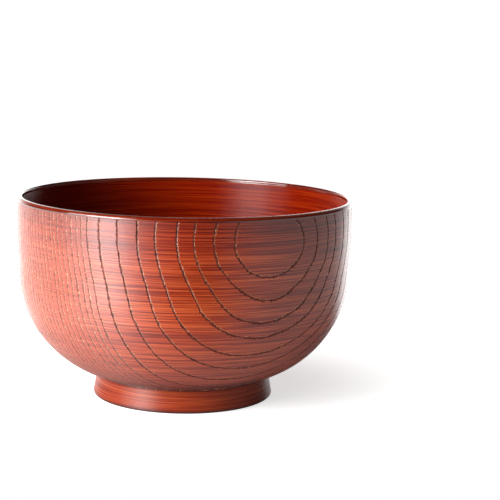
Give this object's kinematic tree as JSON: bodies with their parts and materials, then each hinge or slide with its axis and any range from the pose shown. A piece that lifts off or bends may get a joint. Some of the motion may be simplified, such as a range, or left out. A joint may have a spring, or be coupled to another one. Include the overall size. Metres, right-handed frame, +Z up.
{
  "type": "soup bowl",
  "caption": "Round lacquered wooden soup bowl with a straight upper wall, a round belly, a smooth lip band and a low turned foot ring.",
  "frame": {"origin": "on the bowl's axis, on the plane that the foot ring stands on", "axes": "+Z up along the axis that the bowl is turned about"},
  "size_m": [0.13, 0.13, 0.078],
  "materials": {
    "wood_body": "turned and sanded, seen only on the ground resting face",
    "outer_lacquer": "translucent red-brown lacquer over open grain, with fine turning lines",
    "inner_lacquer": "smooth red-brown lacquer with fine turning lines",
    "lip_lacquer": "smooth red-brown lacquer, polished",
    "foot_lacquer": "smooth red-brown lacquer with fine turning lines",
    "base_lacquer": "smooth red-brown lacquer"
  },
  "bodies": {
    "root": {"wood_body": "wood_body", "outer_lacquer": "outer_lacquer", "inner_lacquer": "inner_lacquer", "lip_lacquer": "lip_lacquer", "foot_lacquer": "foot_lacquer", "base_lacquer": "base_lacquer"}
  },
  "joints": []
}
